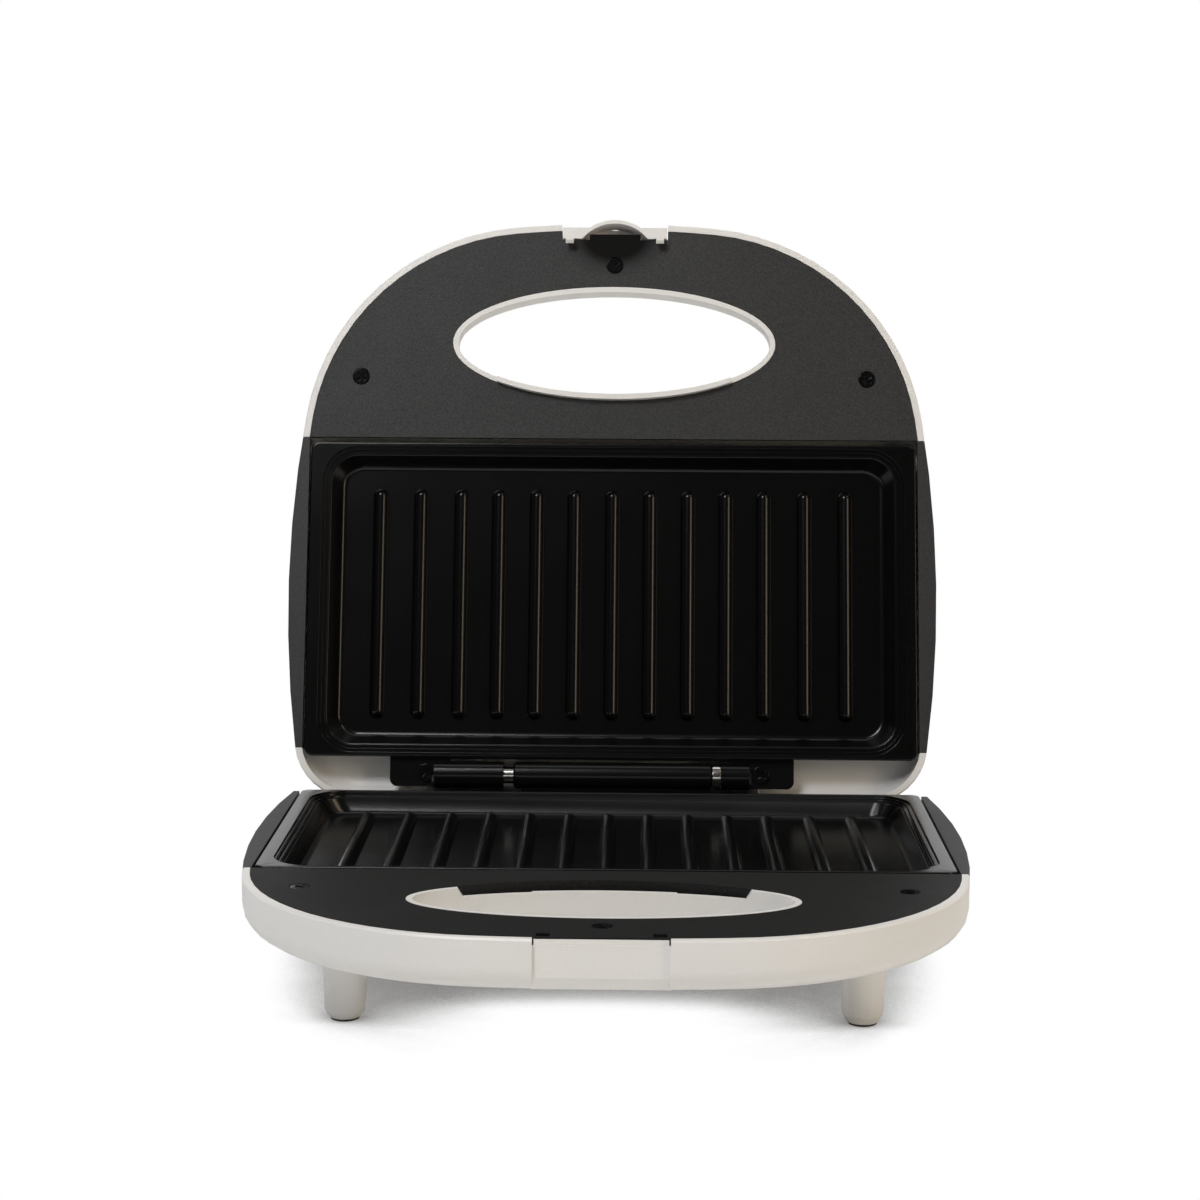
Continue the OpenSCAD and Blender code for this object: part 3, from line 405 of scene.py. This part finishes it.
# ---- pieces eased from the CAD solids
easing = {
    "base_shell": 0.3, "lid_shell": 0.3, "base_panel": 0.25, "lid_panel": 0.25,
    "base_side_trim_left": 0.35, "base_side_trim_right": 0.35,
    "lid_side_trim_left": 0.35, "lid_side_trim_right": 0.35,
    "latch": 0.25, "hinge_block": 0.25, "lid_hinge_bracket": 0.25, "hinge_washer": 0.15,
    "foot_pads": 0.3, "cord_grommet": 0.3, "hinge_pin": 0.2, "latch_pin": 0.15,
    "lid_panel_screws": 0.22, "base_panel_screws": 0.22, "lid_hinge_screws": 0.22,
}
eased = {}
for node, bevel in easing.items():
    eased[node] = dressNode(softCopy(node, bevel * mm), node)
    print("eased", node)


# ---- the lid panel's finger tab: a low lug between the latch's ears
fingerTab = {"width": 18.6, "from": 195.0, "to": 198.0, "thick": 2.0, "round": 0.3}


def addFingerTab(panel):
    deselectAll()
    middle = -(fingerTab["from"] + fingerTab["to"]) / 2
    bpy.ops.mesh.primitive_cube_add(size=1.0, location=(0, middle * mm, fingerTab["thick"] / 2 * mm))
    tab = bpy.context.object
    tab.scale = (fingerTab["width"] * mm, (fingerTab["to"] - fingerTab["from"]) * mm, fingerTab["thick"] * mm)
    applyPlace(tab)
    editMode(tab, "EDGE")
    bpy.ops.mesh.select_all(action="SELECT")
    bpy.ops.mesh.bevel(offset=fingerTab["round"] * mm, segments=3, affect="EDGES")
    objectMode()
    smoothByAngle(tab, 40)
    placeHalf(tab, lidMatrix)
    tab.data.materials.append(panel.data.materials[0])
    return joinAll([panel, tab], panel.name)


def placeHalf(obj, matrix):
    # from a half's own frame to where that half stands
    obj.matrix_world = matrix
    applyPlace(obj)
    if matrix.determinant() < 0:
        recalcNormals(obj)
    return obj


addFingerTab(eased["lid_panel"])


# ---- rounded outlines lofted ring by ring

def boxRing(halfWidth, back, front, corner, z):
    # a rounded rectangle in a half's own frame: back and front are distances from the hinge
    return {"half": halfWidth * mm, "back": back * mm, "front": front * mm, "corner": corner * mm, "z": z * mm}


def cornerCentre(ring, sideX, sideY):
    x = sideX * (ring["half"] - ring["corner"])
    y = -(ring["back"] + ring["corner"]) if sideY > 0 else -(ring["front"] - ring["corner"])
    return Vector((x, y, ring["z"]))


def moveRing(obj, loop, old, new):
    middle = -(old["back"] + old["front"]) / 2
    places = {i: obj.data.vertices[i].co.copy() for i in loop}
    growth = new["corner"] / old["corner"]
    for sideX in (-1, 1):
        for sideY in (-1, 1):
            start = cornerCentre(old, sideX, sideY)
            pickVertices(obj, [i for i, place in places.items()
                               if place.x * sideX > 0 and (place.y - middle) * sideY > 0])
            bpy.ops.transform.resize(value=(growth, growth, 1), center_override=start)
            bpy.ops.transform.translate(value=cornerCentre(new, sideX, sideY) - start)
            objectMode()


def loft(name, rings, perCorner):
    # a filled ring is extruded again and again, and each new ring takes its own size and corner
    first = rings[0]
    deselectAll()
    middle = -(first["back"] + first["front"]) / 2
    bpy.ops.mesh.primitive_circle_add(vertices=4 * perCorner, radius=first["corner"], fill_type="NGON",
                                      location=(0, middle, first["z"]),
                                      rotation=(0, 0, math.pi / (4 * perCorner)))
    obj = bpy.context.object
    obj.name = name
    applyPlace(obj)
    seed = dict(first, half=first["corner"], back=-middle - first["corner"], front=-middle + first["corner"])
    editMode(obj, "VERT")
    bpy.ops.mesh.select_all(action="SELECT")
    objectMode()
    loop = list(range(len(obj.data.vertices)))
    moveRing(obj, loop, seed, first)
    for old, new in zip(rings, rings[1:]):
        pickVertices(obj, loop)
        bpy.ops.mesh.extrude_region_move()
        objectMode()
        loop = [v.index for v in obj.data.vertices if v.select]
        moveRing(obj, loop, old, new)
    recalcNormals(obj)
    return obj


# ---- cooking plates: the two castings are the same, each in its own half's frame
plateForm = {
    "cornerPoints": 9, "corner": 3.0, "edge": 0.4, "thick": 1.6,
    "stepSide": 4.4, "stepEnd": 1.5, "stepWidth": 1.35, "stepDrop": 0.6, "stepCorner": 13.0, "stepRound": 0.16,
    "floorSide": 11.5, "floorEnd": 8.2, "floorCorner": 7.5, "depth": 7.0,
    "ribRadius": 2.6, "ribFoot": 0.3, "ribPitch": 13.7, "outerPitch": 14.7, "ribBack": 6.1, "ribFront": 8.0,
    "bossRadius": 3.9, "bossBore": 1.4, "bossSide": 9.0, "bossEnd": 8.0,
}
plateBox = [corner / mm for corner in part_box("lower_grill_plate")]
plateSize = {"half": plateBox[1].x, "back": hingePlace.y / mm - plateBox[1].y,
             "front": hingePlace.y / mm - plateBox[0].y, "deep": plateBox[1].z - plateBox[0].z}


def stepRing(k, z):
    form = plateForm
    side, end = (form[key] + k * form["stepWidth"] for key in ("stepSide", "stepEnd"))
    return boxRing(plateSize["half"] - side, plateSize["back"] + end, plateSize["front"] - end,
                   form["stepCorner"] - k * form["stepWidth"], z)


def floorRing(grow, z):
    form = plateForm
    return boxRing(plateSize["half"] - form["floorSide"] + grow, plateSize["back"] + form["floorEnd"] - grow,
                   plateSize["front"] - form["floorEnd"] + grow, form["floorCorner"] + grow, z)


def rimRing(inset, z):
    return boxRing(plateSize["half"] - inset, plateSize["back"] + inset, plateSize["front"] - inset,
                   plateForm["corner"] - inset * 0.5, z)


def plateRings():
    form = plateForm
    deep, drop, soft = form["depth"], form["stepDrop"], form["stepRound"]
    rings = [floorRing(-1.3, deep), floorRing(-0.7, deep - 0.05), floorRing(-0.1, deep - 0.22),
             floorRing(0.45, deep - 0.55), floorRing(0.85, deep - 1.0), floorRing(1.15, deep - 1.5)]
    wallTop = 3 * drop
    rings += [stepRing(2.44, wallTop + 0.4), stepRing(2.32, wallTop + 0.14), stepRing(2.18, wallTop + 0.02)]
    for k in (2, 1, 0):
        low, high = (k + 1) * drop, k * drop
        width = soft / form["stepWidth"]
        rings += [stepRing(k + 0.02, low), stepRing(k, high + soft), stepRing(k - width * 0.3, high + soft * 0.3),
                  stepRing(k - width, high)]
    rings += [stepRing(-0.2, 0), rimRing(form["edge"] + 0.25, 0), rimRing(form["edge"], 0.02),
              rimRing(form["edge"] * 0.3, form["edge"] * 0.3),
              rimRing(0, form["edge"]), rimRing(0, form["thick"])]
    rings += [stepRing(0.6, form["thick"] + 0.2), stepRing(1.6, wallTop + form["thick"]),
              floorRing(2.2, deep - 1), floorRing(0.8, deep + form["thick"])]
    return rings


def ribRings():
    form = plateForm
    radius, foot, deep = form["ribRadius"], form["ribFoot"], form["depth"]
    profile = [(radius + foot, 0.03), (radius + foot * 0.45, -0.07), (radius + foot * 0.14, -0.24),
               (radius, -foot)]
    profile += [(radius * math.cos(math.radians(turn)), -radius * math.sin(math.radians(turn)))
                for turn in (24, 38, 52, 65, 77, 86)]
    back = plateSize["back"] + form["floorEnd"] + form["ribBack"] + radius
    front = plateSize["front"] - form["floorEnd"] - form["ribFront"] - radius
    return [boxRing(size, back - size, front + size, size, deep + rise) for size, rise in profile]


def makeBoss(x, y):
    form = plateForm
    deselectAll()
    low, high = form["depth"] + form["thick"] - 0.4, plateSize["deep"]
    bpy.ops.mesh.primitive_cylinder_add(vertices=24, radius=form["bossRadius"] * mm, depth=(high - low) * mm,
                                        location=(x * mm, y * mm, (high + low) / 2 * mm))
    obj = bpy.context.object
    applyPlace(obj)
    for face in obj.data.polygons:
        face.select = face.normal.z > 0.9
    bpy.ops.object.mode_set(mode="EDIT")
    bpy.ops.mesh.select_mode(type="FACE")
    bpy.ops.mesh.inset(thickness=(form["bossRadius"] - form["bossBore"]) * mm)
    bpy.ops.mesh.extrude_region_move(TRANSFORM_OT_translate={"value": (0, 0, -(high - low - 1.0) * mm)})
    objectMode()
    return obj


def makePlate():
    form = plateForm
    casting = loft("casting", plateRings(), form["cornerPoints"])
    rib = loft("rib", ribRings(), 6)
    pieces = [casting]
    for step in range(-6, 7):
        outer = max(0, abs(step) - 4)
        twin = copyOf(rib, "rib")
        twin.location.x = math.copysign(form["ribPitch"] * (abs(step) - outer) + form["outerPitch"] * outer,
                                        step) * mm
        applyPlace(twin)
        pieces.append(twin)
    bpy.data.objects.remove(rib)
    side = plateSize["half"] - form["floorSide"] - form["bossSide"]
    ends = (plateSize["back"] + form["floorEnd"] + form["bossEnd"],
            plateSize["front"] - form["floorEnd"] - form["bossEnd"])
    pieces += [makeBoss(sign * side, -end) for sign in (-1, 1) for end in ends]
    plate = joinAll(pieces, "plate")
    smoothByAngle(plate, 50)
    even = plate.modifiers.new("even", "WEIGHTED_NORMAL")
    even.keep_sharp = True
    even.weight = 70
    applyModifiers(plate)
    return plate


plate = makePlate()
for node, matrix in (("lower_grill_plate", baseMatrix), ("upper_grill_plate", lidMatrix)):
    twin = placeHalf(copyOf(plate, "pan_" + node), matrix)
    dressNode(twin, node)
bpy.data.objects.remove(plate)
print("plates ready")


# ---- stage, light and camera

def softLamp(name, place, aim, size, power, colour):
    data = bpy.data.lights.new(name, "AREA")
    data.shape = "RECTANGLE"
    data.size, data.size_y = size
    data.energy = power
    data.color = colour
    lamp = bpy.data.objects.new(name, data)
    lamp.location = place
    lamp.rotation_euler = (Vector(aim) - Vector(place)).to_track_quat("-Z", "Y").to_euler()
    bpy.context.scene.collection.objects.link(lamp)
    return lamp


lights = {
    "keyLeft": {"place": (-0.40, -0.72, 1.0), "aim": (0, 0, 0.08), "size": (0.34, 0.34), "power": 5.9,
                "colour": (0.96, 0.975, 1.0)},
    "fillRight": {"place": (1.0, -0.75, 0.45), "aim": (0, 0, 0.08), "size": (0.4, 0.6), "power": 2.9,
                  "colour": (1.0, 0.84, 0.62)},
    "warmHigh": {"place": (0.64, -0.3, 1.05), "aim": (0, 0, 0.06), "size": (0.2, 0.2), "power": 1.0,
                 "colour": (1.0, 0.8, 0.56)},
    "frontLow": {"place": (-0.1, -1.5, 0.12), "aim": (0, 0, 0.08), "size": (0.8, 0.15), "power": 0.7,
                 "colour": (1.0, 1.0, 1.0)},
    "wallHigh": {"place": (-0.19, -0.53, 1.19), "aim": (-0.1, 0.06, 0.04), "size": (0.12, 0.12), "power": 1.2,
                 "colour": (1.0, 1.0, 1.0)},
    "top": {"place": (0.0, 0.55, 1.3), "aim": (0, 0.55, 0), "size": (2.2, 1.0), "power": 8.5,
            "colour": (1.0, 0.99, 0.97)},
}
for name, setup in lights.items():
    softLamp(name, setup["place"], setup["aim"], setup["size"], setup["power"], setup["colour"])

world = bpy.data.worlds.new("studio")
bpy.context.scene.world = world
world.use_nodes = True
wTree = world.node_tree
background = wTree.nodes["Background"]
background.inputs["Color"].default_value = (1, 1, 1, 1)
paths = addNode(wTree, "ShaderNodeLightPath")
# a white sweep behind the object and a dim room in front of it
studio = {"front": 0.03, "behind": 0.9, "from": -0.15, "to": 0.35, "sweepTop": 0.28, "darkAbove": 0.55}
seen = mathNode(wTree, "MAXIMUM", paths.outputs["Is Camera Ray"], paths.outputs["Is Transmission Ray"])
heading = addNode(wTree, "ShaderNodeSeparateXYZ")
wTree.links.new(addNode(wTree, "ShaderNodeTexCoord").outputs["Generated"], heading.inputs[0])
back = mapRange(wTree, heading.outputs["Y"], studio["from"], studio["to"], 0.0, 1.0)
low = mapRange(wTree, heading.outputs["Z"], studio["sweepTop"], studio["darkAbove"], 1.0, 0.0)
room = mapRange(wTree, mathNode(wTree, "MULTIPLY", back, low), 0.0, 1.0, studio["front"], studio["behind"])
wTree.links.new(mapRange(wTree, seen, 0.0, 1.0, room, 1.0), background.inputs["Strength"])


floorLook = {"size": 6.0, "reach": 0.042, "darkAt": 0.25, "clearAt": 0.46,
             "shadow": (0.24, 0.235, 0.23, 1), "fadeFrom": 0.05, "fadeTo": 0.125, "fade": 0.07}


def makeFloor(look):
    deselectAll()
    bpy.ops.mesh.primitive_plane_add(size=look["size"], location=(0, 0, 0))
    floor = bpy.context.object
    floor.name = "studioFloor"
    applyPlace(floor)
    material = bpy.data.materials.new("paleFloor")
    material.use_nodes = True
    tree = material.node_tree
    shader = tree.nodes["Principled BSDF"]
    shader.inputs["Roughness"].default_value = 0.7
    shader.inputs["Specular IOR Level"].default_value = 0.2
    place = addNode(tree, "ShaderNodeTexCoord").outputs["Object"]
    tone = mixColours(tree, noise(tree, place, 3.0), (0.93, 0.93, 0.93, 1), (0.95, 0.95, 0.95, 1))
    tree.links.new(tone, shader.inputs["Base Color"])
    # seen by the camera the floor is plain white, with a painted contact shadow close to the object taken from
    # ambient occlusion and made lighter out to the sides
    shade = addNode(tree, "ShaderNodeAmbientOcclusion", samples=16)
    shade.inputs["Distance"].default_value = look["reach"]
    glow = addNode(tree, "ShaderNodeEmission")
    across = addNode(tree, "ShaderNodeSeparateXYZ")
    tree.links.new(place, across.inputs["Vector"])
    outer = mapRange(tree, mathNode(tree, "ABSOLUTE", across.outputs["X"], 0.0), look["fadeFrom"], look["fadeTo"],
                     0.0, look["fade"])
    near = mathNode(tree, "ADD", shade.outputs["AO"], outer)
    lit = mapRange(tree, near, look["darkAt"], look["clearAt"], 0.0, 1.0)
    tree.links.new(mixColours(tree, lit, look["shadow"], (1, 1, 1, 1)), glow.inputs["Color"])
    blend = addNode(tree, "ShaderNodeMixShader")
    paths = addNode(tree, "ShaderNodeLightPath")
    tree.links.new(paths.outputs["Is Camera Ray"], blend.inputs["Fac"])
    tree.links.new(shader.outputs["BSDF"], blend.inputs[1])
    tree.links.new(glow.outputs["Emission"], blend.inputs[2])
    tree.links.new(blend.outputs["Shader"], tree.nodes["Material Output"].inputs["Surface"])
    floor.data.materials.append(material)
    return floor


makeFloor(floorLook)

cameraSetup = {
    "fromHinge": Vector((9.54, -886.14, 185.02)) * mm,
    "yaw": 0.875, "pitch": -7.818, "roll": 0.334,
    "lens": 75.93, "sensor": 36.0,
}


def makeCamera(setup):
    data = bpy.data.cameras.new("productCamera")
    data.lens = setup["lens"]
    data.sensor_width = setup["sensor"]
    data.sensor_fit = "HORIZONTAL"
    data.clip_start = 0.01
    camera = bpy.data.objects.new("productCamera", data)
    yaw, pitch, roll = (math.radians(setup[key]) for key in ("yaw", "pitch", "roll"))
    right = Vector((math.cos(yaw), math.sin(yaw), 0))
    ahead = Vector((-math.sin(yaw), math.cos(yaw), 0))
    up = Vector((0, 0, 1))
    look = ahead * math.cos(pitch) + up * math.sin(pitch)
    rise = up * math.cos(pitch) - ahead * math.sin(pitch)
    across = right * math.cos(roll) + rise * math.sin(roll)
    over = rise * math.cos(roll) - right * math.sin(roll)
    turn = Matrix((across, over, -look)).transposed().to_4x4()
    camera.matrix_world = Matrix.Translation(hingePlace + setup["fromHinge"]) @ turn
    bpy.context.scene.collection.objects.link(camera)
    bpy.context.scene.camera = camera


makeCamera(cameraSetup)
bpy.context.scene.view_settings.view_transform = "Standard"
print("stage ready")
